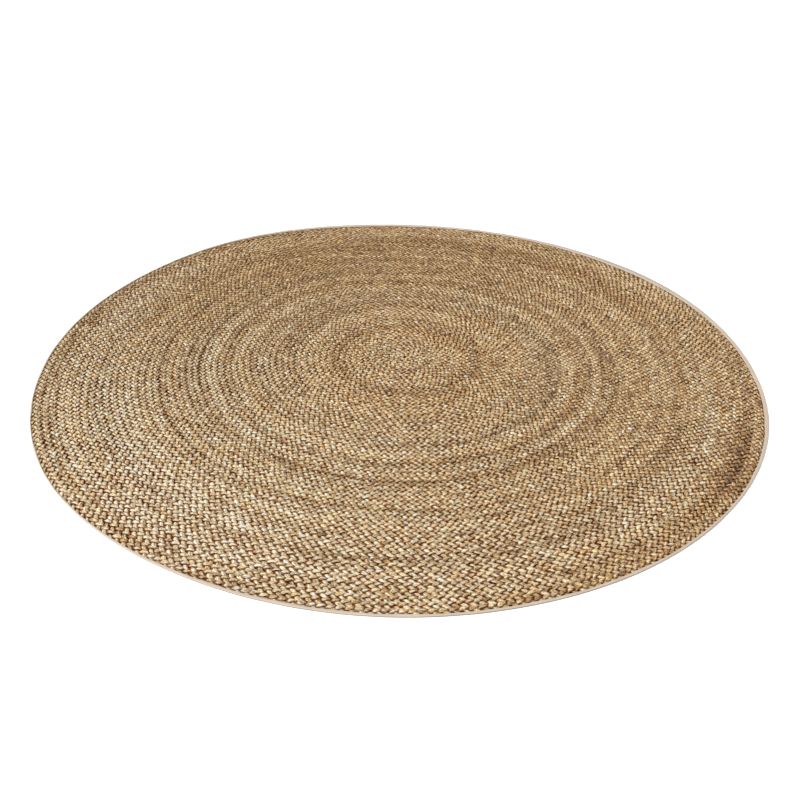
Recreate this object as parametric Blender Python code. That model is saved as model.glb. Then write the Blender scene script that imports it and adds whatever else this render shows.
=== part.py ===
"""Round braided rug: a flat spiral of braid inside a folded edge tape.

The rug lies on z = 0 with its top face up. The origin is the middle of its
bounding box, on the floor.
"""
import math

import bmesh
import bpy
from mathutils import Vector
from mathutils.geometry import delaunay_2d_cdt

# Driving dimensions, in metres.
RUG_RADIUS = 0.75          # mean radius over the edge tape
BRAID_PITCH = 0.0132       # one turn of the coil: the width of the braid
BRAID_HEIGHT = 0.006       # floor to the crest of a row
GROOVE_DEPTH = 0.0018      # crest to the groove between two rows
TAPE_THICKNESS = 0.001
TAPE_HEIGHT = 0.0045       # floor to the top of the folded tape
TAPE_UNDER_WIDTH = 0.010   # what the tape covers of the underside
TAPE_CORNER = 0.0008       # size of the corners where the tape folds
CLEARANCE = 0.0003         # between the tape and the braid

# How far the outline leaves a true circle: waves round the rim, each with its
# height in metres and the direction of one of its crests in degrees.
#                 (waves, height, crest at)
OUTLINE_WAVES = [(2, 0.0078, 45.3),
                 (3, 0.0031, 8.6),
                 (4, 0.0033, 36.8),
                 (5, 0.0015, -16.4),
                 (7, 0.0008, 21.4),
                 (8, 0.0009, -11.1)]

# The tape's width on the top face, which is uneven in the same way.
TAPE_MEAN_WIDTH = 0.0054
TAPE_WIDTH_WAVES = [(1, 0.0036, 20.0),
                    (2, 0.0016, -5.0)]

RIM_STEPS = 108            # points round the outline
ROW_STEP = 0.060           # distance between points along a row
ROW_MIN_STEPS = 14         # fewest points in a turn near the centre
RIM_ROW_SLOPE = 0.0045     # from the tape's edge in to the last row's crest
OUTER_ROW_DIP = 0.0004     # the last row is pressed a little lower

BRAID_COLOUR = (0.42, 0.29, 0.16, 1.0)
TAPE_COLOUR = (0.66, 0.50, 0.40, 1.0)


def wave_sum(waves, angle):
    """Sum of cosine waves (count, height, crest direction) at an angle."""
    return sum(height * math.cos(count * (angle - math.radians(crest)))
               for count, height, crest in waves)


def rim_radius(angle):
    """Distance from the coil's centre to the outside of the tape."""
    return RUG_RADIUS + wave_sum(OUTLINE_WAVES, angle)


def tape_width(angle):
    """Width of the tape on the top face."""
    return TAPE_MEAN_WIDTH + wave_sum(TAPE_WIDTH_WAVES, angle)


def ring_angles(steps):
    return [2 * math.pi * i / steps for i in range(steps)]


def outline_centre():
    """Middle of the outline's box, seen from the coil's centre."""
    points = [(rim_radius(a) * math.cos(a), rim_radius(a) * math.sin(a))
              for a in ring_angles(RIM_STEPS)]
    xs, ys = zip(*points)
    return Vector(((min(xs) + max(xs)) / 2, (min(ys) + max(ys)) / 2, 0))


def polar(radius, angle, height):
    return Vector((radius * math.cos(angle), radius * math.sin(angle), height))


def ring(inset, height, steps=RIM_STEPS):
    """Closed ring that follows the outline; inset is a length or a function."""
    depth = inset if callable(inset) else lambda angle: inset
    return [polar(rim_radius(a) - depth(a), a, height) for a in ring_angles(steps)]


def row_point(turns, offset, height):
    """Point on the coil, moved outwards by offset, after so many turns.

    The rows near the rim follow its waves, and those near the centre are round.
    """
    angle = 2 * math.pi * turns
    radius = BRAID_PITCH * turns + offset
    share = radius / RUG_RADIUS
    return polar(radius + wave_sum(OUTLINE_WAVES, angle) * share ** 2, angle, height)


def coil_line(offset, height, limit):
    """Points along one line of the coil, and the edges that join them."""
    points, turns = [], 0.5
    while True:
        point = row_point(turns, offset, height)
        angle = math.atan2(point.y, point.x)
        if rim_radius(angle) - point.xy.length < limit(angle):
            return points
        points.append(point)
        round_trip = 2 * math.pi * point.xy.length
        turns += 1 / max(ROW_MIN_STEPS, round(round_trip / ROW_STEP))


def chain(start, count, closed):
    edges = [(start + i, start + i + 1) for i in range(count - 1)]
    return edges + ([(start + count - 1, start)] if closed else [])


def make_material(name, colour, roughness):
    material = bpy.data.materials.new(name)
    material.use_nodes = True
    shader = material.node_tree.nodes["Principled BSDF"]
    shader.inputs["Base Color"].default_value = colour
    shader.inputs["Roughness"].default_value = roughness
    shader.inputs["Metallic"].default_value = 0.0
    return material


def add_object(name, bm, material, sharp_angle, collection):
    """Turn a bmesh into a named, shaded object at the rug's origin."""
    bmesh.ops.translate(bm, verts=bm.verts, vec=-outline_centre())
    bmesh.ops.recalc_face_normals(bm, faces=bm.faces)
    mesh = bpy.data.meshes.new(name)
    bm.to_mesh(mesh)
    bm.free()
    mesh.materials.append(material)
    mesh.shade_smooth()
    mesh.set_sharp_from_angle(angle=math.radians(sharp_angle))
    obj = bpy.data.objects.new(name, mesh)
    collection.objects.link(obj)
    return obj


def top_outline(depth):
    """Inset of a ring that lies depth inside the tape's edge on the top face."""
    return lambda angle: tape_width(angle) + depth


def braided_top():
    """Points, faces and rim of the top face, with the coil's rows raised."""
    groove_height = BRAID_HEIGHT - GROOVE_DEPTH
    pressed_height = TAPE_HEIGHT - TAPE_THICKNESS - CLEARANCE
    rim = ring(TAPE_THICKNESS + CLEARANCE, pressed_height)
    tape_edge = ring(top_outline(3 * CLEARANCE), pressed_height)
    last_row = ring(top_outline(RIM_ROW_SLOPE), BRAID_HEIGHT - OUTER_ROW_DIP)
    inner = top_outline(RIM_ROW_SLOPE + BRAID_PITCH / 3)
    crest = coil_line(0.0, BRAID_HEIGHT, inner)
    groove = coil_line(BRAID_PITCH / 2, groove_height, inner)

    points, edges = [], []
    for line, closed in ((rim, True), (tape_edge, True), (last_row, True),
                         (crest, False), (groove, False)):
        edges += chain(len(points), len(line), closed)
        points += line
    flat = [point.xy for point in points]
    _, _, faces, _, _, _ = delaunay_2d_cdt(flat, edges, [], 1, 1e-7)
    return points, faces, len(rim)


def braided_body(material, collection):
    """The coiled braid: raised rows on top, a flat face to lie on."""
    points, faces, rim_count = braided_top()
    bm = bmesh.new()
    verts = [bm.verts.new(point) for point in points]
    for face in faces:
        bm.faces.new([verts[i] for i in face])

    # The side and underside: in under the tape, then down to the floor.
    under_edge = TAPE_UNDER_WIDTH + 3 * CLEARANCE
    lifted = TAPE_THICKNESS + CLEARANCE
    upper = verts[:rim_count]
    for inset, height in ((lifted, lifted), (under_edge, lifted),
                          (under_edge + lifted, 0.0)):
        lower = [bm.verts.new(p) for p in ring(inset, height)]
        for i in range(rim_count):
            j = (i + 1) % rim_count
            bm.faces.new((upper[i], lower[i], lower[j], upper[j]))
        upper = lower
    bm.faces.new(list(reversed(upper)))
    bmesh.ops.triangulate(bm, faces=bm.faces)
    return add_object("braided_body", bm, material, 60, collection)


def edge_binding(material, collection):
    """The tape: a C-shaped section led round the rim."""
    inside = TAPE_THICKNESS
    corner = TAPE_CORNER
    # Section from the top inner edge, over the fold, to the lower inner edge
    # and back inside: (inset from the rim, height).
    section = [(tape_width, TAPE_HEIGHT),
               (corner, TAPE_HEIGHT),
               (corner * 0.3, TAPE_HEIGHT - corner * 0.3),
               (0.0, TAPE_HEIGHT - corner),
               (0.0, corner),
               (corner * 0.3, corner * 0.3),
               (corner, 0.0),
               (TAPE_UNDER_WIDTH, 0.0),
               (TAPE_UNDER_WIDTH, inside),
               (inside, inside),
               (inside, TAPE_HEIGHT - inside),
               (tape_width, TAPE_HEIGHT - inside)]
    bm = bmesh.new()
    lines = [[bm.verts.new(p) for p in ring(inset, height)] for inset, height in section]
    for k, line in enumerate(lines):
        following = lines[(k + 1) % len(lines)]
        for i in range(RIM_STEPS):
            j = (i + 1) % RIM_STEPS
            bm.faces.new((line[i], line[j], following[j], following[i]))
    return add_object("edge_binding", bm, material, 35, collection)


def main():
    for obj in list(bpy.data.objects):
        bpy.data.objects.remove(obj, do_unlink=True)
    collection = bpy.data.collections.new("round_braided_rug")
    bpy.context.scene.collection.children.link(collection)
    braid = make_material("braided_straw", BRAID_COLOUR, 0.85)
    tape = make_material("woven_tape", TAPE_COLOUR, 0.8)
    braided_body(braid, collection)
    edge_binding(tape, collection)


main()
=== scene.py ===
import math

import bpy
import numpy as np
from mathutils import Matrix, Vector


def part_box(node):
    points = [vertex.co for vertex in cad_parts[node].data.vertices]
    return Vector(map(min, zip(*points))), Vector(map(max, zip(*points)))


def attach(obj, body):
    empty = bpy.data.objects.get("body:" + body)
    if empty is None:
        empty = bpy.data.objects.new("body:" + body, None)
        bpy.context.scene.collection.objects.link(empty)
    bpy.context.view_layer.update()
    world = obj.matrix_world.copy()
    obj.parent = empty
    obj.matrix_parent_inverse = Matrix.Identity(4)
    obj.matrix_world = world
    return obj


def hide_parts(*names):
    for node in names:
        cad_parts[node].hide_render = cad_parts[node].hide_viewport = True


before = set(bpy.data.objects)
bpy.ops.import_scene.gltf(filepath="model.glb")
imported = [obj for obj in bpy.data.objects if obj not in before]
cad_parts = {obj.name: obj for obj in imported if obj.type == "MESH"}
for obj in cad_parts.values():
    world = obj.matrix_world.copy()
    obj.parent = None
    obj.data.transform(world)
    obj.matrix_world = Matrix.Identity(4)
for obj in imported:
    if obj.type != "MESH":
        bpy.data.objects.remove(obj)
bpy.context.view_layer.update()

tau = 2 * math.pi
dice = np.random.default_rng(41)

# The coil of braid, in metres. The uneven outline puts its start a little off
# the middle of the rug.
coil = dict(
    centre=(-0.0023, 0.0032),
    rowPitch=0.0132,
    firstTurn=0.14,          # where the braid starts, in turns from the centre
    endGap=0.004,            # turns left off at its other end
    steps=90000,             # at which the coil is measured
    lastRowInset=0.0078,     # rim to the middle of the last row
    tuckAngle=2.45,          # where the end of the braid goes under the tape
    tuckTurns=0.065,         # share of a turn over which it narrows there
    settlingRows=12,         # rows that share the step beside the tucked end
    drift=0.00045,           # height of the slow waves in the rows
    driftWaves=9,
    driftLengths=(0.10, 0.42),
    driftStart=0.1,          # distance from the centre over which they set in
    driftEnd=0.985,          # share of the radius where they have died out
    driftFade=0.1,           # and the share over which they do
    # where the sewn tape laps further over the braid: direction and spread in
    # degrees, and by how much
    tapeLaps=((42, 15, 0.0100), (95, 24, 0.0095), (-110, 14, 0.0035), (-35, 16, -0.0040)),
)


def smoothStep(x):
    x = np.clip(x, 0.0, 1.0)
    return x * x * (3 - 2 * x)


# The outline, read from the frame

def ringFunction(angles, values, waves=9):
    # a smooth function of the angle through values known at some angles
    count = 360
    even = np.arange(count) / count * tau
    series = np.fft.rfft(np.interp(even, angles, values, period=tau)) / count

    def at(angle):
        total = np.full(np.shape(angle), series[0].real)
        for k in range(1, waves + 1):
            total += 2 * (series[k] * np.exp(1j * k * np.asarray(angle))).real
        return total
    return at


def readOutline():
    points = np.array([v.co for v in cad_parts["edge_binding"].data.vertices])
    flat = points[:, :2] - coil["centre"]
    radius, angle = np.hypot(flat[:, 0], flat[:, 1]), np.arctan2(flat[:, 1], flat[:, 0])
    step = np.round(np.degrees(angle), 1) % 360
    highest = points[:, 2].max()
    top = points[:, 2] > 0.95 * highest
    floor = points[:, 2] < 0.05 * highest
    angles, rim, edge, under = np.unique(step), [], [], []
    for a in angles:
        here = step == a
        rim.append(radius[here].max())
        edge.append(radius[here & top].min())
        under.append(radius[here & floor].min())
    angles = np.radians(angles)
    rings = [ringFunction(angles, values) for values in (rim, edge, under)]
    return *rings, float(np.mean(rim))


rimAt, solidEdgeAt, tapeUnderAt, meanRadius = readOutline()


def nearness(angle, middle, spread):
    # 1 in one direction round the rug, falling off to each side; middle and
    # spread are in degrees
    away = (np.degrees(angle) - middle + 180) % 360 - 180
    return np.exp(-0.5 * (away / spread) ** 2)


def tapeEdgeAt(angle):
    return solidEdgeAt(angle) - sum(lap * nearness(angle, middle, spread)
                                    for middle, spread, lap in coil["tapeLaps"])


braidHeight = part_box("braided_body")[1].z
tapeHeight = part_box("edge_binding")[1].z
print("outline read, mean radius", round(meanRadius, 4))


def addObject(name, data):
    made = bpy.data.objects.new(name, data)
    bpy.context.scene.collection.objects.link(made)
    return made


# Camera

camera = dict(
    place=(0.0, -1.72007, 1.00352),      # from the coil's centre, in metres
    lens=41.82, sensor=36,               # in millimetres
    pan=0.0022535, tilt=-0.0437630, roll=-0.0362520,
    near=0.05, far=60,
)


def makeCamera():
    data = bpy.data.cameras.new("rugCamera")
    data.lens, data.sensor_width = camera["lens"], camera["sensor"]
    data.clip_start, data.clip_end = camera["near"], camera["far"]
    place = Vector(camera["place"])
    forward, right = -place.normalized(), Vector((1, 0, 0))
    up = right.cross(forward)
    turn = Matrix.Rotation(camera["pan"], 3, up)
    forward, right = turn @ forward, turn @ right
    turn = Matrix.Rotation(camera["tilt"], 3, right)
    forward, up = turn @ forward, turn @ up
    turn = Matrix.Rotation(camera["roll"], 3, forward)
    right, up = turn @ right, turn @ up
    place += Vector((*coil["centre"], 0))
    facing = Matrix((right, up, -forward)).transposed().to_4x4()
    obj = addObject("rugCamera", data)
    obj.matrix_world = Matrix.Translation(place) @ facing
    bpy.context.scene.camera = obj


makeCamera()
print("camera placed")

# The line of the coil

pitch = coil["rowPitch"]
lastRow = meanRadius - coil["lastRowInset"]
tuckShare = coil["tuckAngle"] / tau
lastTurn = round(lastRow / pitch - tuckShare) + tuckShare


def rowRadius(turns):
    # The rows are a plain spiral, but those near the rim are eased outwards so
    # that the last of them follows the rim all the way round.
    plain = pitch * turns
    share = (turns - lastTurn) % 1.0
    tuck = smoothStep((share - 1 + coil["tuckTurns"]) / coil["tuckTurns"])
    ease = lastRow - pitch * lastTurn + pitch * (1 - share + tuck)
    settled = smoothStep(1 - (lastTurn - 1 - turns) / coil["settlingRows"])
    inLastTurn = turns > lastTurn - 1
    radius = np.where(inLastTurn, lastRow + 0.5 * pitch * tuck, plain + ease * settled)
    return radius, np.where(inLastTurn, tuck, 0.0)


# slow waves that neighbouring rows share: direction, phase and closeness
driftWaves = [(dice.uniform(0, tau), dice.uniform(0, tau),
               tau / dice.uniform(*coil["driftLengths"])) for _ in range(coil["driftWaves"])]


def coilPoint(turns):
    # point on the coil's middle line, and how far the row has narrowed there
    angle = tau * turns
    nominal, tucked = rowRadius(turns)
    share = nominal / meanRadius
    radius = nominal + (rimAt(angle) - meanRadius) * share ** 2
    x, y = radius * np.cos(angle), radius * np.sin(angle)
    drift = sum(np.sin(k * (x * math.cos(way) + y * math.sin(way)) + phase)
                for way, phase, k in driftWaves)
    away = coil["drift"] * drift * smoothStep(radius / coil["driftStart"])
    radius = radius + away * smoothStep((coil["driftEnd"] - share) / coil["driftFade"])
    return np.stack([radius * np.cos(angle), radius * np.sin(angle)], axis=-1), tucked


# Braid: three strands that pass over and under each other

braid = dict(
    reach=0.0058,            # from the row's middle to a strand's own middle at the edge
    lift=0.0021,             # how far a strand rises to its crest
    crestAt=52,              # degrees of the weave from the crossing to the crest
    crestSharpness=0.08,     # how low a strand keeps between its crests
    squareness=0.085,        # turns sharper at the row's edge than a plain wave
    middle=0.0024,           # height of the middle of a row
    width=0.0086,            # a strand at its crest
    thickness=0.0036,
    plump=0.24,              # how much slimmer a strand is between its crests
    fillBelow=0.30,          # how much wider it spreads under the row
    thickening=0.5,          # the part of both that its thickness takes
    lean=0.12,               # how much a strand tips over towards the row's edge
    corners=(306, 18, 90, 162, 234),                     # of a strand's section
    stations=(5, 28, 54, 84, 135, 185, 222, 262, 315),   # along one weave, in degrees
    startAt=20,              # where a strand starts, in degrees of the weave
    splitAt=135,             # where its mesh is parted in two, in degrees of the weave
    splitTurn=0.707,         # and at which share of the turns
    unrolled=0.0158,         # how wide a strand is laid out for its UVs
    # lobes: their length by distance from the centre, how far they differ, and
    # the steps of the coil over which that changes
    lobeLengths=((0.0, 0.0118), (0.15, 0.0128), (0.30, 0.0126), (0.45, 0.0120),
                 (0.56, 0.0131), (0.64, 0.0142), (0.76, 0.0143)),
    lobeSpread=0.03,
    lobeSpans=(12, 60),
    widthSpread=0.12, liftSpread=0.00028, reachSpread=0.00038,
    nesting=0.07,            # how far a lobe stretches to lie in the next row's hollows
    nestingStart=0.03, nestingFade=0.06,    # distances from the centre where this sets in
    # tone and hue of the lobes: sizes, and the lobes over which each changes
    sharedTone=((0.32, 9), (0.38, 40)),     # what the three strands of a row share
    lobeTone=0.42,                          # one lobe from the next
    strandTone=((0.38, 2.2), (0.40, 11)),
    flecks=((-2.0, 0.015), (0.9, 0.03)),    # dark and pale ones, and their share of the lobes
    hueSpan=7,
    diveShade=0.05, flank=0.12,   # painted shade: how much darker a strand is at its dips and down its sides
    # the grain of a strand: its twist in radians a metre, its radius, and the
    # step to the next strand's
    twist=95, yarnRadius=0.003, yarnGap=0.02,
    # the tucked end: how much slimmer, lower and thinner it gets
    tuckSlimming=0.93, tuckSinking=0.5, tuckThinning=0.4,
    # under and over the sides of the folded tape: height, gap and length of slope
    underTape=(0.0031, 0.0006, 0.0080),
    overTape=(0.0014, 0.0003, 0.0022),
    insideRim=0.0013,
    crestRoom=0.0002,        # above the solid's crests
    highest=1.06,            # share of the braid's height where crests are pressed off
    offFloor=0.00003,
)


def softNoise(count, span, generator):
    # noise with a standard deviation of 1 that changes slowly over span steps
    size = int(3 * span) + 1
    kernel = np.exp(-0.5 * (np.arange(-size, size + 1) / span) ** 2)
    noise = np.convolve(generator.standard_normal(count + 2 * size), kernel, "valid")
    return noise / math.sqrt((kernel ** 2).sum())


def coilTable():
    # turns, and the phase of the weave, at close steps along the coil
    turns = np.linspace(coil["firstTurn"], lastTurn - coil["endGap"], coil["steps"])
    points, _ = coilPoint(turns)
    run = np.concatenate([[0], np.cumsum(np.linalg.norm(np.diff(points, axis=0), axis=1))])
    radius = np.linalg.norm(points, axis=1)
    lobe = np.interp(radius, *zip(*braid["lobeLengths"]))
    generator = np.random.default_rng(23)
    for span in braid["lobeSpans"]:
        lobe *= 1 + braid["lobeSpread"] * softNoise(len(lobe), span, generator)
    rate = tau / (3 * lobe)
    free = np.diff(run) * 0.5 * (rate[1:] + rate[:-1])
    hold = braid["nesting"] * smoothStep((radius - braid["nestingStart"]) / braid["nestingFade"])
    return turns, run, nestedPhase(free, hold, 1 / (turns[1] - turns[0]))


def nestedPhase(free, hold, perTurn):
    # the lobes of a row are drawn into the hollows of the row inside it, and
    # skip one where they would be stretched too far
    phase = [0.0]
    for i, (step, pull) in enumerate(zip(free.tolist(), hold.tolist())):
        inside = i - perTurn
        if inside > 0:
            k = int(inside)
            beside = phase[k] + (phase[k + 1] - phase[k]) * (inside - k)
            step *= 1 + pull * math.sin(3 * (beside - phase[i]))
        phase.append(phase[i] + step)
    return np.array(phase)


tableTurns, tableRun, tablePhase = coilTable()
lobeCount = int(tablePhase[-1] / math.pi) + 4
print("coil of", round(tableRun[-1], 1), "m,", int(tablePhase[-1] / tau), "weaves")


def atLobe(values, phase, firmness=0.4):
    # a value per lobe, blended where the strand runs underneath
    place = np.maximum((phase - math.pi / 4) / math.pi, 0.0)
    whole = np.floor(place).astype(int)
    blend = smoothStep((place - whole - 0.5 + firmness / 2) / firmness)
    values = np.asarray(values)
    return values[whole] * (1 - blend) + values[np.minimum(whole + 1, len(values) - 1)] * blend


def strandPoint(phase, strand, jitter, apart=0.0008):
    # Middle of a strand, with the row's own directions there, which are taken
    # between points some turns apart.
    turns = np.interp(phase - strand * tau / 3, tablePhase, tableTurns)
    middle, tucked = coilPoint(turns)
    ahead, _ = coilPoint(turns + apart)
    behind, _ = coilPoint(turns - apart)
    way = ahead - behind
    way /= np.linalg.norm(way, axis=1, keepdims=True)
    out = np.stack([way[:, 1], -way[:, 0]], axis=1)
    squareness = braid["squareness"]
    swing = (np.sin(phase) - squareness * np.sin(3 * phase)) / (1 + squareness)
    slim = 1 - braid["tuckSlimming"] * tucked
    across = (braid["reach"] * swing + atLobe(jitter["reach"], phase)) * slim
    past, sharp = phase - math.radians(braid["crestAt"]), braid["crestSharpness"]
    rise = (1 - sharp) * np.cos(2 * past) + sharp * np.cos(4 * past)
    lift = braid["lift"] * rise * (1 - braid["tuckSinking"] * tucked)
    lift = lift + atLobe(jitter["lift"], phase) * slim
    height = braid["middle"] + lift
    points = np.concatenate([middle + out * across[:, None], height[:, None]], axis=1)
    return points, out, swing, slim, rise


def pressed(points):
    # the rows are pressed flat where they go into the folded tape
    x, y, height = points.T
    radius, angle = np.hypot(x, y), np.arctan2(y, x)
    rim, edge, under = rimAt(angle), tapeEdgeAt(angle), tapeUnderAt(angle)
    low, gap, slope = braid["underTape"]
    free = smoothStep((edge - gap - radius) / slope)
    roof = low + (braidHeight + braid["crestRoom"] - low) * free
    high, gap, slope = braid["overTape"]
    ground = high * (1 - smoothStep((under - gap - radius) / slope))
    height = ground + np.clip(height / braidHeight, 0.0, braid["highest"]) * (roof - ground)
    limit = np.minimum(1.0, (rim - braid["insideRim"]) / radius)
    return np.stack([x * limit, y * limit, np.maximum(height, braid["offFloor"])], axis=1)


# Slow patches of tone in the rug, partly its own colour and partly painted light: the brighter
# patches to the front left and the darker ones at the back stand in for light falling off across
# it. Distance from the centre, width, direction in degrees, spread in degrees, and strength (below
# zero is darker).
toneBands = [
    (0.133, 0.012, 0, 400, -0.9),
    (0.150, 0.010, 165, 40, -0.7),
    (0.070, 0.060, 0, 400, 0.4),
    (0.250, 0.025, 150, 60, -0.6),
    (0.250, 0.025, 30, 60, -0.5),
    (0.300, 0.020, -90, 90, 0.5),
    (0.385, 0.022, 45, 70, -0.7),
    (0.455, 0.022, 60, 60, -0.6),
    (0.520, 0.035, -105, 45, 0.6),
    (0.570, 0.018, -40, 35, -0.7),
    (0.700, 0.030, -20, 45, -0.6),
    (0.640, 0.100, -135, 60, 1.2),
    (0.640, 0.080, 90, 70, -0.6),
    (0.260, 0.050, 0, 400, 0.35),
    (0.190, 0.030, 10, 70, -0.8),
    (0.340, 0.050, -130, 50, 0.7),
    (0.640, 0.030, -45, 40, 0.4),
    (0.490, 0.030, 10, 50, -0.5),
    (0.712, 0.020, -60, 25, -0.6),
    (0.715, 0.020, 180, 25, -0.5),
    (0.080, 0.080, 0, 400, -0.2),
    (0.420, 0.030, -140, 45, 0.8),
    (0.620, 0.050, -130, 30, 0.9),
    (0.640, 0.035, 160, 25, 1.1),
    (0.510, 0.050, 125, 30, -0.9),
    (0.550, 0.040, 0, 35, 0.5),
    (0.705, 0.025, 30, 50, 0.5),
    (0.710, 0.030, -110, 30, 0.8),
    (0.706, 0.017, -31, 8, -2.4),
    (0.652, 0.006, -8, 5, -1.3),
    (0.112, 0.028, 60, 90, -0.6),
    (0.600, 0.060, 95, 50, -0.9),
    (0.560, 0.030, -90, 35, -0.6),
    (0.630, 0.025, -10, 20, 0.7),
]


def bandTone(points):
    x, y = points[:, 0], points[:, 1]
    radius, angle = np.hypot(x, y), np.degrees(np.arctan2(y, x))
    total = np.zeros(len(points))
    for distance, width, way, spread, strength in toneBands:
        off = (angle - way + 180) % 360 - 180
        away = -0.5 * ((radius - distance) / width) ** 2
        total += strength * np.exp(away - 0.5 * (off / spread) ** 2)
    return total


rowTone = sum(size * softNoise(lobeCount, span, dice) for size, span in braid["sharedTone"])


def strandJitter(strand):
    # how the lobes of a strand differ
    generator = np.random.default_rng(100 + strand)
    flecks = sum(size * (generator.random(lobeCount) < share) for size, share in braid["flecks"])
    width = 1 + braid["widthSpread"] * generator.standard_normal(lobeCount)
    lift = braid["liftSpread"] * generator.standard_normal(lobeCount)
    reach = braid["reachSpread"] * generator.standard_normal(lobeCount)
    hue = generator.standard_normal(lobeCount) + softNoise(lobeCount, braid["hueSpan"], generator)
    tone = braid["lobeTone"] * generator.standard_normal(lobeCount)
    for size, span in braid["strandTone"]:
        tone = tone + size * softNoise(lobeCount, span, generator)
    return dict(width=width, lift=lift, reach=reach, hue=hue, tone=tone + rowTone + flecks)


def strandRings(strand, jitter, firstPhase, lastPhase, apart=0.03):
    # stations along the strand between two phases of the weave
    whole = np.arange(math.floor(firstPhase / tau), math.ceil(lastPhase / tau) + 1)
    phase = (whole[:, None] * tau + np.radians(braid["stations"])[None, :]).ravel()
    phase = phase[(phase >= firstPhase) & (phase <= lastPhase)]
    middle, out, swing, slim, rise = strandPoint(phase, strand, jitter)
    ahead = strandPoint(phase + apart, strand, jitter)[0]
    behind = strandPoint(phase - apart, strand, jitter)[0]
    along = ahead - behind
    along /= np.linalg.norm(along, axis=1, keepdims=True)
    side = np.cross(along, np.array([0, 0, 1.0]))
    side /= np.linalg.norm(side, axis=1, keepdims=True)
    up = np.cross(side, along)
    onTop = np.sin(2 * phase)                      # 1 over the row, -1 under it
    lean = -braid["lean"] * swing * onTop * np.sign((side[:, :2] * out).sum(axis=1))
    leanCos, leanSin = np.cos(lean)[:, None], np.sin(lean)[:, None]
    side, up = side * leanCos + up * leanSin, up * leanCos - side * leanSin
    bulge = atLobe(jitter["width"], phase) * (1 - braid["plump"] * (1 - onTop ** 2))
    bulge = bulge * (1 + braid["fillBelow"] * np.maximum(-onTop, 0))
    halfWidth = 0.5 * braid["width"] * bulge * slim
    share, thinning = braid["thickening"], braid["tuckThinning"]
    halfThick = 0.5 * braid["thickness"] * (1 - share + share * bulge)
    halfThick = halfThick * (1 - thinning + thinning * slim)
    corners = np.radians(braid["corners"])
    rings = (middle[:, None, :]
             + side[:, None, :] * (halfWidth[:, None] * np.cos(corners))[:, :, None]
             + up[:, None, :] * (halfThick[:, None] * np.sin(corners))[:, :, None])
    return phase, rings, rise


def tubeFaces(count, sides):
    # the quads between rings of corners, and all faces with a cap at each end
    ring, side = np.arange(count - 1)[:, None] * sides, np.arange(sides)[None, :]
    following = (side + 1) % sides
    quads = np.stack([ring + side, ring + sides + side,
                      ring + sides + following, ring + following], axis=-1).reshape(-1, 4)
    caps = [list(range(sides)), [(count - 1) * sides + k for k in reversed(range(sides))]]
    return quads, quads.tolist() + caps


def stripUv(ringCount, sides, rows, margin=0.001):
    # the strand unrolled, and cut into rows that lie under each other
    perRow = math.ceil((ringCount - 1) / rows)
    station = np.arange(ringCount - 1)
    row, column = station // perRow, station % perRow
    low = (column / perRow)[:, None] * (1 - 2 * margin) + margin
    high = ((column + 1) / perRow)[:, None] * (1 - 2 * margin) + margin
    side = np.arange(sides)[None, :]
    bottom = (row[:, None] + (side + 0.5) / (sides + 1)) / (rows + 1)
    top = (row[:, None] + (side + 1.5) / (sides + 1)) / (rows + 1)
    low, high = np.broadcast_to(low, bottom.shape), np.broadcast_to(high, bottom.shape)
    corners = [np.stack([u, v], axis=-1)
               for u, v in ((low, bottom), (high, bottom), (high, top), (low, top))]
    return np.stack(corners, axis=2).reshape(-1, 2)


def capUv(sides, rows, left):
    # a small disc above the strand's rows
    turn = np.arange(sides) / sides * tau
    size = 0.35 / (rows + 1)
    return np.stack([left + size * np.cos(turn), 1 - size * 1.3 + size * np.sin(turn)], axis=-1)


def setUv(mesh, uv):
    layer = mesh.uv_layers.new(name="OFBake")
    layer.data.foreach_set("uv", uv.astype(np.float32).ravel())


def setAttribute(mesh, name, kind, values):
    layer = mesh.attributes.new(name, kind, "POINT")
    layer.data.foreach_set("value" if kind == "FLOAT" else "vector",
                           np.ascontiguousarray(values, dtype=np.float32).ravel())


def setStraw(mesh, tone, hue, crown, yarn):
    # what the straw's material reads
    setAttribute(mesh, "tone", "FLOAT", tone)
    setAttribute(mesh, "hue", "FLOAT", hue)
    setAttribute(mesh, "crown", "FLOAT", crown)
    setAttribute(mesh, "yarn", "FLOAT_VECTOR", yarn)


def buildStrand(name, strand, jitter, firstPhase, lastPhase, material):
    phase, rings, rise = strandRings(strand, jitter, firstPhase, lastPhase)
    count, sides = rings.shape[:2]
    raw = rings.reshape(-1, 3)
    # crown: the height on the braid, lowered at the strand's dips and down its sides, which the
    # material turns into painted shade low down and a painted highlight on the crests
    crown = raw[:, 2].reshape(count, sides) / braidHeight + braid["diveShade"] * (rise - 1)[:, None]
    crown = crown + braid["flank"] * (np.sin(np.radians(braid["corners"])) - 1)
    points = pressed(raw)
    band = bandTone(points)
    tone = np.repeat(atLobe(jitter["tone"], phase), sides) + band
    hue = np.repeat(atLobe(jitter["hue"], phase), sides) + band
    run = np.interp(phase - strand * tau / 3, tablePhase, tableRun)
    turn = np.radians(braid["corners"])[None, :] + (run * braid["twist"])[:, None]
    yarn = np.stack([np.repeat(run, sides).reshape(count, sides),
                     braid["yarnRadius"] * np.cos(turn) + braid["yarnGap"] * strand,
                     braid["yarnRadius"] * np.sin(turn)], axis=-1).reshape(-1, 3)
    points[:, :2] += coil["centre"]

    mesh = bpy.data.meshes.new(name)
    mesh.from_pydata(points.tolist(), [], tubeFaces(count, sides)[1])
    mesh.shade_smooth()
    rows = round(math.sqrt((run[-1] - run[0]) / braid["unrolled"]))
    caps = [capUv(sides, rows, left) for left in (0.2, 0.6)]
    setUv(mesh, np.concatenate([stripUv(count, sides, rows), *caps]))
    setStraw(mesh, tone, hue, crown, yarn)
    mesh.materials.append(material)
    piece = addObject(name, mesh)
    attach(piece, "root")
    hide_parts("braided_body")


# Materials

def startMaterial(name):
    material = bpy.data.materials.new(name)
    material.use_nodes = True
    return material, material.node_tree, material.node_tree.nodes["Principled BSDF"]


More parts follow.
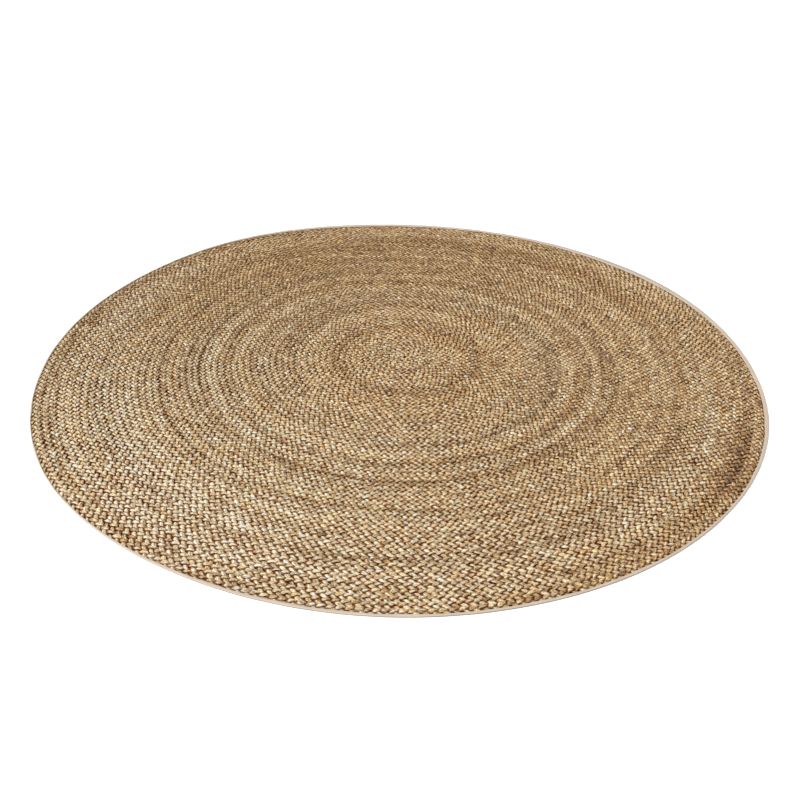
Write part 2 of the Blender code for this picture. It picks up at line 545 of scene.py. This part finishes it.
def addNode(tree, kind, inputs=None, **settings):
    made = tree.nodes.new(kind)
    for key, value in settings.items():
        setattr(made, key, value)
    for socket, value in (inputs or {}).items():
        if isinstance(value, bpy.types.NodeSocket):
            tree.links.new(value, made.inputs[socket])
        else:
            made.inputs[socket].default_value = value
    return made


def addMath(tree, operation, a, b=0.0, c=0.0):
    return addNode(tree, "ShaderNodeMath", {0: a, 1: b, 2: c}, operation=operation).outputs[0]


def addMix(tree, blend, amount, a, b):
    mixed = addNode(tree, "ShaderNodeMix", {0: amount, 6: a, 7: b},
                    data_type="RGBA", blend_type=blend)
    return mixed.outputs[2]


def addRamp(tree, value, stops):
    ramp = addNode(tree, "ShaderNodeValToRGB", {0: value})
    elements = ramp.color_ramp.elements
    while len(elements) < len(stops):
        elements.new(0.5)
    for element, (place, colour) in zip(elements, stops):
        element.position = place
        element.color = (*colour, 1.0)
    return ramp.outputs["Color"]


straw = dict(
    stops=((0.00, (0.036, 0.014, 0.004)), (0.22, (0.122, 0.051, 0.011)),
           (0.42, (0.276, 0.150, 0.048)), (0.60, (0.416, 0.284, 0.127)),
           (0.80, (0.556, 0.458, 0.280)), (1.00, (0.675, 0.622, 0.485))),
    middle=0.550,                # where a strand of middling tone falls on the scale above
    toneStep=0.105,
    # fibres, lumps and stains in a strand: features a metre along it and across
    # it, detail, and how strongly they show
    streak=((110, 480, 480), 3.0), streakStep=2.0,
    slub=((260, 430, 430), 2.5), slubStep=1.6,
    blotch=((80, 210, 210), 2.0), blotchStep=1.6,
    rusty=(1.095, 0.94, 0.695),  # the two hues between which the strands vary
    pale=(0.95, 1.012, 1.14),
    hueStep=0.13,
    shade=(0.29, 0.086, 0.018),  # painted shade: what the hollows between strands turn the colour to
    hollowShade=(0.40, 0.77),         # heights between which the painted shade fades, as a share of the braid's
    crest=(0.06, 0.06, 0.05),    # what the crests add to it: a painted highlight, with some wear
    roughness=(0.55, 0.75),
    specular=0.05,
    bump=0.0010, bumpStrength=0.6,
    slubBump=1.5,                # how much higher the lumps stand than the fibres
)


def yarnNoise(tree, yarn, scale, detail):
    # noise drawn out along the strands
    mapped = addNode(tree, "ShaderNodeMapping", {"Vector": yarn, "Scale": scale}).outputs[0]
    return addNode(tree, "ShaderNodeTexNoise", {"Vector": mapped, "Scale": 1.0, "Detail": detail,
                                                "Roughness": 0.6}).outputs["Fac"]


def addVaried(tree, noise, step, base):
    return addMath(tree, "MULTIPLY_ADD", addMath(tree, "SUBTRACT", noise, 0.5), step, base)


def strawMaterial():
    material, tree, shader = startMaterial("braidedStraw")
    tone, hue, crown = (addNode(tree, "ShaderNodeAttribute", attribute_name=name).outputs["Fac"]
                        for name in ("tone", "hue", "crown"))
    yarn = addNode(tree, "ShaderNodeAttribute", attribute_name="yarn").outputs["Vector"]
    streak = yarnNoise(tree, yarn, *straw["streak"])
    slub = yarnNoise(tree, yarn, *straw["slub"])
    blotch = yarnNoise(tree, yarn, *straw["blotch"])
    level = addMath(tree, "MULTIPLY_ADD", tone, straw["toneStep"], straw["middle"])
    level = addVaried(tree, streak, straw["streakStep"], level)
    level = addVaried(tree, slub, straw["slubStep"], level)
    colour = addRamp(tree, level, straw["stops"])
    hue = addMath(tree, "MULTIPLY_ADD", hue, straw["hueStep"], 0.5)
    hue = addVaried(tree, blotch, straw["blotchStep"], hue)
    tint = addRamp(tree, hue, ((0.1, straw["rusty"]), (0.9, straw["pale"])))
    colour = addMix(tree, "MULTIPLY", 1.0, colour, tint)
    # painted shade and highlight by height on the braid: low parts turn towards the shade colour,
    # the crests are lightened
    low, high = straw["hollowShade"]
    depth = addNode(tree, "ShaderNodeMapRange", {"Value": crown, "From Min": low, "From Max": high},
                    interpolation_type="SMOOTHSTEP").outputs["Result"]
    hollowShade = addMix(tree, "MULTIPLY", 1.0, colour, (*straw["shade"], 1.0))
    crest = addMix(tree, "SCREEN", 1.0, colour, (*straw["crest"], 1.0))
    tree.links.new(addMix(tree, "MIX", depth, hollowShade, crest), shader.inputs["Base Color"])
    low, high = straw["roughness"]
    rough = addNode(tree, "ShaderNodeMapRange", {"Value": streak, "To Min": low, "To Max": high})
    tree.links.new(rough.outputs["Result"], shader.inputs["Roughness"])
    shader.inputs["Specular IOR Level"].default_value = straw["specular"]
    height = addMath(tree, "MULTIPLY_ADD", slub, straw["slubBump"], streak)
    bump = addNode(tree, "ShaderNodeBump", {"Height": height, "Strength": straw["bumpStrength"],
                                            "Distance": straw["bump"]})
    tree.links.new(bump.outputs[0], shader.inputs["Normal"])
    return material


def buildBraid():
    material = strawMaterial()
    overlap = 0.001                  # of the phase, where a strand's two meshes meet
    split = float(np.interp(lastTurn * braid["splitTurn"], tableTurns, tablePhase))
    for strand, word in enumerate(("First", "Second", "Third")):
        jitter = strandJitter(strand)
        start = strand * tau / 3 + math.radians(braid["startAt"])
        parting = math.floor((split + start) / tau) * tau + math.radians(braid["splitAt"])
        end = tablePhase[-1] + strand * tau / 3
        buildStrand("strand" + word + "Inner", strand, jitter, start, parting + overlap, material)
        buildStrand("strand" + word + "Outer", strand, jitter, parting - overlap, end, material)


buildBraid()
print("braid made")

# A layer low in the braid, coloured in the painted shade of the hollows, which closes the small
# gaps between the strands and stands in for the shaded strands beneath

shadedFibre = dict(
    low=0.0010, high=0.0016,
    inset=0.0040,                    # from the rim, inside the tape
    around=240,
    rings=(0.004, 0.25, 0.5, 0.75, 0.9, 1.0),        # shares of the radius
    # its darker tone and low crown paint it in the shade of the hollows
    tone=-0.6, crown=0.42,
)


def shadedFibreUv(x, y, heights, quads, caps):
    # the layer's two faces side by side, and the narrow edge between them below
    scale, middles, raised = 0.3, (0.25, 0.75), 0.52
    around, rings = shadedFibre["around"], len(shadedFibre["rings"])
    middle = np.where(heights > shadedFibre["low"], *middles)[:, None]
    flat = np.stack([middle + scale * x, raised + scale * y], axis=-1).reshape(-1, 2)
    uv = flat[quads]
    edge = np.arange((rings - 1) * around, rings * around)
    left = (edge % around) / around
    right = left + 1 / around
    bottom, top = np.full(around, 0.01), np.full(around, 0.03)
    corners = ((left, top), (left, bottom), (right, bottom), (right, top))
    uv[edge] = np.stack([np.stack(corner, axis=-1) for corner in corners], axis=1)
    return np.concatenate([uv.reshape(-1, 2), flat[caps]])


def buildShadedFibre():
    around, rings = shadedFibre["around"], shadedFibre["rings"]
    angle = np.arange(around) / around * tau
    rim = rimAt(angle) - shadedFibre["inset"]
    shares = np.array(rings + rings[::-1])
    heights = np.repeat([shadedFibre["high"], shadedFibre["low"]], len(rings))
    radius = shares[:, None] * rim[None, :]
    x, y = radius * np.cos(angle), radius * np.sin(angle)
    points = np.stack([x, y, np.repeat(heights[:, None], around, axis=1)], axis=-1).reshape(-1, 3)
    quads, faces = tubeFaces(len(shares), around)
    mesh = bpy.data.meshes.new("shadedFibreLayer")
    mesh.from_pydata((points + (*coil["centre"], 0)).tolist(), [], faces)
    setUv(mesh, shadedFibreUv(x, y, heights, quads, faces[-2] + faces[-1]))
    count = len(points)
    setStraw(mesh, np.full(count, shadedFibre["tone"]), np.zeros(count),
             np.full(count, shadedFibre["crown"]), points)
    mesh.materials.append(bpy.data.materials["braidedStraw"])
    piece = addObject("shadedFibreLayer", mesh)
    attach(piece, "root")
    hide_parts("braided_body")


buildShadedFibre()
print("loose fibre made")

# Edge tape

tape = dict(
    thickness=0.0009,
    steps=1200,                      # round the rim
    underWidth=0.0099,
    corner=0.0010, heel=0.0026,      # how round the fold is above and below
    lip=0.0003,                      # how round its cut edges are
    crown=0.0001,                    # how far it swells on top
    pucker=0.00016, puckerMost=0.0002,
    puckerLength=0.016, puckerSpans=2.4,
    edgeWander=0.00035, edgeSpan=3.5,        # how far it strays, and over how many steps
    flankWander=0.00012, flankSpan=4,
    colour=(0.475, 0.384, 0.298),
    darker=0.92, paler=1.07, patches=26.0,   # patches a metre
    thread=0.0011, weaveBump=0.0002, weaveStrength=0.35,
    roughness=0.85, sheen=0.12,
    tapeShade=(0.42, 0.40, 0.38),       # painted shade: what the foot of the fold, by the floor, darkens to, as if in its contact shadow
    # where painted shade greys the fold on top too: direction, spread and how grey
    greyEdge=((44, 13, 0.75), (110, 16, 0.35)),
)


def ringNoise(count, length, generator):
    # noise round the rim that closes on itself
    kernel = np.exp(-0.5 * (np.fft.fftfreq(count) * count / length) ** 2)
    series = np.fft.rfft(generator.standard_normal(count)) * np.fft.rfft(kernel)
    noise = np.fft.irfft(series, count)
    return noise / noise.std()


def clothMaterial():
    material, tree, shader = startMaterial("creamTape")
    cloth = addNode(tree, "ShaderNodeAttribute", attribute_name="cloth").outputs["Vector"]
    patch = addNode(tree, "ShaderNodeTexNoise", {"Vector": cloth, "Scale": tape["patches"],
                                                 "Detail": 3.0}).outputs["Fac"]
    pale = tuple(min(1.0, c * tape["paler"]) for c in tape["colour"])
    dark = tuple(c * tape["darker"] for c in tape["colour"])
    colour = addRamp(tree, patch, ((0.3, dark), (0.7, pale)))
    separate = addNode(tree, "ShaderNodeSeparateXYZ", {0: cloth})
    # painted shade on the cloth: its foot darkened as if by the contact shadow, and the top of the
    # fold greyed in some directions
    paintedShade = addNode(tree, "ShaderNodeAttribute", attribute_name="paintedShade").outputs["Fac"]
    tapeShade = addMix(tree, "MULTIPLY", 1.0, colour, (*tape["tapeShade"], 1.0))
    tree.links.new(addMix(tree, "MIX", paintedShade, colour, tapeShade), shader.inputs["Base Color"])
    shader.inputs["Roughness"].default_value = tape["roughness"]
    shader.inputs["Sheen Weight"].default_value = tape["sheen"]
    threads = []
    for axis in (0, 1):
        wave = addMath(tree, "MULTIPLY", separate.outputs[axis], tau / tape["thread"])
        threads.append(addMath(tree, "SINE", wave))
    weave = addMath(tree, "MULTIPLY", *threads)
    bump = addNode(tree, "ShaderNodeBump", {"Height": weave, "Strength": tape["weaveStrength"],
                                            "Distance": tape["weaveBump"]})
    tree.links.new(bump.outputs[0], shader.inputs["Normal"])
    return material


def buildTape():
    generator = np.random.default_rng(7)
    steps, thick = tape["steps"], tape["thickness"]
    corner, heel, lip, crown = tape["corner"], tape["heel"], tape["lip"], tape["crown"]
    angle = np.arange(steps) / steps * tau
    rim = rimAt(angle)
    wander = tape["edgeWander"] * ringNoise(steps, tape["edgeSpan"], generator)
    width = rim - tapeEdgeAt(angle) + wander
    line = np.stack([rim * np.cos(angle), rim * np.sin(angle)], axis=1)
    around = float(np.linalg.norm(np.diff(line, axis=0), axis=1).sum())
    puckerSteps = tape["puckerLength"] / (around / steps) / tape["puckerSpans"]
    rise = tape["pucker"] * ringNoise(steps, puckerSteps, generator)
    top = tapeHeight + np.minimum(rise, tape["puckerMost"])
    stray = tape["flankWander"]
    flank = stray * ringNoise(steps, tape["flankSpan"], generator) + stray
    under, inner, zero = np.full(steps, tape["underWidth"]), np.full(steps, thick), np.zeros(steps)
    # The section, from the upper inner edge over the fold to the lower one, and back along the
    # inside: distance in from the rim, height, how much painted shade darkens the foot of the fold
    # there, and how much painted shade greys it where the fold is grey on top.
    section = [
        (width, top - 0.45 * thick, 0, 0),
        (width - lip, top - 0.08 * thick, 0, 0),
        (width * 0.72, top, 0, 0),
        (width * 0.42 + lip, top + crown, 0, 0.2),
        (corner + 2 * crown + zero, top - crown, 0, 1),
        (flank + 0.3 * corner, top - 0.35 * corner, 0, 1),
        (flank, top - corner, 0, 0.8),
        (flank, 0.5 * (tapeHeight - corner + heel) + zero, 0.25, 0),
        (flank, heel + zero, 0.85, 0),
        (flank + 0.3 * heel, 0.3 * heel + zero, 1, 0),
        (heel + zero, zero, 0.8, 0),
        (0.55 * under, zero, 0.2, 0),
        (under, zero, 0, 0),
        (under, inner, 0, 0),
        (0.55 * under, inner, 0, 0),
        (heel + zero, inner, 0, 0),
        (inner + flank + 0.3 * (heel - inner), 0.3 * heel + 0.7 * inner, 0, 0),
        (inner + flank, heel + zero, 0, 0),
        (inner + flank, top - inner - 0.4 * corner, 0, 0),
        (inner + 0.4 * corner, top - inner, 0, 0),
        (0.5 * width + 0.0005, top - inner, 0, 0),
        (width - lip, top - 0.92 * thick, 0, 0),
    ]
    insets, heights, foot, greyed = zip(*section)
    inset = np.stack([np.maximum(part, 0) for part in insets], axis=1)
    height = np.stack(heights, axis=1)
    radius = rim[:, None] - inset
    points = np.stack([radius * np.cos(angle)[:, None] + coil["centre"][0],
                       radius * np.sin(angle)[:, None] + coil["centre"][1], height], axis=-1)
    sides = len(section)
    hop = np.hypot(np.diff(inset, axis=1), np.diff(height, axis=1)).mean(axis=0)
    across = np.concatenate([[0], np.cumsum(hop)])
    run = angle * meanRadius
    cloth = np.stack([np.repeat(run, sides).reshape(steps, sides), np.tile(across, (steps, 1)),
                      np.zeros((steps, sides))], axis=-1)
    # painted shade on the tape: its foot darkened as if by the floor's contact shadow, its top
    # greyed in some directions as if shaded
    grey = sum(share * nearness(angle, middle, spread)
               for middle, spread, share in tape["greyEdge"])
    paintedShade = np.array(foot) + grey[:, None] * np.array(greyed)

    station, side = np.arange(steps)[:, None], np.arange(sides)[None, :]
    near, far = station * sides, (station + 1) % steps * sides
    following = (side + 1) % sides
    faces = np.stack([near + side, near + following, far + following, far + side], axis=-1)
    mesh = bpy.data.meshes.new("edgeTape")
    mesh.from_pydata(points.reshape(-1, 3).tolist(), [], faces.reshape(-1, 4).tolist())
    mesh.shade_smooth()
    setUv(mesh, stripUv(steps + 1, sides, 10).reshape(-1, 4, 2)[:, [0, 3, 2, 1]])
    setAttribute(mesh, "cloth", "FLOAT_VECTOR", cloth)
    setAttribute(mesh, "paintedShade", "FLOAT", paintedShade)
    mesh.materials.append(clothMaterial())
    piece = addObject("edgeTape", mesh)
    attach(piece, "root")
    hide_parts("edge_binding")


buildTape()

# Floor and light

studio = dict(
    floorColour=(0.93, 0.93, 0.93), floorSize=60.0, floorGlow=0.12,
    floorRoughness=0.9, floorSpecular=0.1,
    wallDistance=28.0, wallHeight=16.0, wallSides=96,
    wallGlow=((0.0, 1.02), (0.25, 1.02), (1.0, 0.58)),    # by share of the height
    worldStrength=0.58,
    sunStrength=2.8, sunSpread=7, sunWay=(-0.62, -0.42, 0.95),
    lampPower=14, lampSize=1.3, lampAt=(-1.5, -1.7, 1.5),
)


def makeFloor():
    material, _, shader = startMaterial("paleFloor")
    shader.inputs["Base Color"].default_value = (*studio["floorColour"], 1.0)
    shader.inputs["Roughness"].default_value = studio["floorRoughness"]
    shader.inputs["Specular IOR Level"].default_value = studio["floorSpecular"]
    shader.inputs["Emission Color"].default_value = (1.0, 1.0, 1.0, 1.0)
    shader.inputs["Emission Strength"].default_value = studio["floorGlow"]
    half = studio["floorSize"] / 2
    corners = [(-half, -half, 0), (half, -half, 0), (half, half, 0), (-half, half, 0)]
    mesh = bpy.data.meshes.new("studioFloor")
    mesh.from_pydata(corners, [], [(0, 1, 2, 3)])
    mesh.materials.append(material)
    floor = addObject("studioFloor", mesh)


def makeWall():
    # a pale wall far off, which fades upwards into the sky's tone
    material, tree, shader = startMaterial("paleWall")
    shader.inputs["Base Color"].default_value = (0.0, 0.0, 0.0, 1.0)
    shader.inputs["Specular IOR Level"].default_value = 0.0
    shader.inputs["Emission Color"].default_value = (1.0, 1.0, 1.0, 1.0)
    glow = addNode(tree, "ShaderNodeAttribute", attribute_name="glow").outputs["Fac"]
    tree.links.new(glow, shader.inputs["Emission Strength"])
    around, distance = studio["wallSides"], studio["wallDistance"]
    angle = np.arange(around) / around * tau
    ring = np.stack([distance * np.cos(angle), distance * np.sin(angle)], axis=-1).tolist()
    levels, glows = zip(*studio["wallGlow"])
    points = [(x, y, level * studio["wallHeight"]) for level in levels for x, y in ring]
    faces = []
    for lower in range(len(levels) - 1):
        near, far = lower * around, (lower + 1) * around
        for k in range(around):
            following = (k + 1) % around
            faces.append((near + k, near + following, far + following, far + k))
    mesh = bpy.data.meshes.new("studioWall")
    mesh.from_pydata(points, [], faces)
    setAttribute(mesh, "glow", "FLOAT", np.repeat(glows, around))
    mesh.materials.append(material)
    wall = addObject("studioWall", mesh)
    wall.visible_shadow = False


def makeLight():
    world = bpy.data.worlds.new("studioWorld")
    world.use_nodes = True
    background = world.node_tree.nodes["Background"]
    background.inputs["Color"].default_value = (1.0, 1.0, 1.0, 1.0)
    background.inputs["Strength"].default_value = studio["worldStrength"]
    bpy.context.scene.world = world

    light = bpy.data.lights.new("softKey", "SUN")
    light.energy, light.angle = studio["sunStrength"], math.radians(studio["sunSpread"])
    sun = addObject("softKey", light)
    sun.rotation_euler = Vector(studio["sunWay"]).to_track_quat("Z", "Y").to_euler()
    light = bpy.data.lights.new("softLamp", "AREA")
    light.shape, light.size, light.energy = "DISK", studio["lampSize"], studio["lampPower"]
    lamp = addObject("softLamp", light)
    lamp.location = studio["lampAt"]
    lamp.rotation_euler = Vector(studio["lampAt"]).to_track_quat("Z", "Y").to_euler()
    bpy.context.scene.view_settings.view_transform = "Standard"


makeFloor()
makeWall()
makeLight()
print("floor and light set")
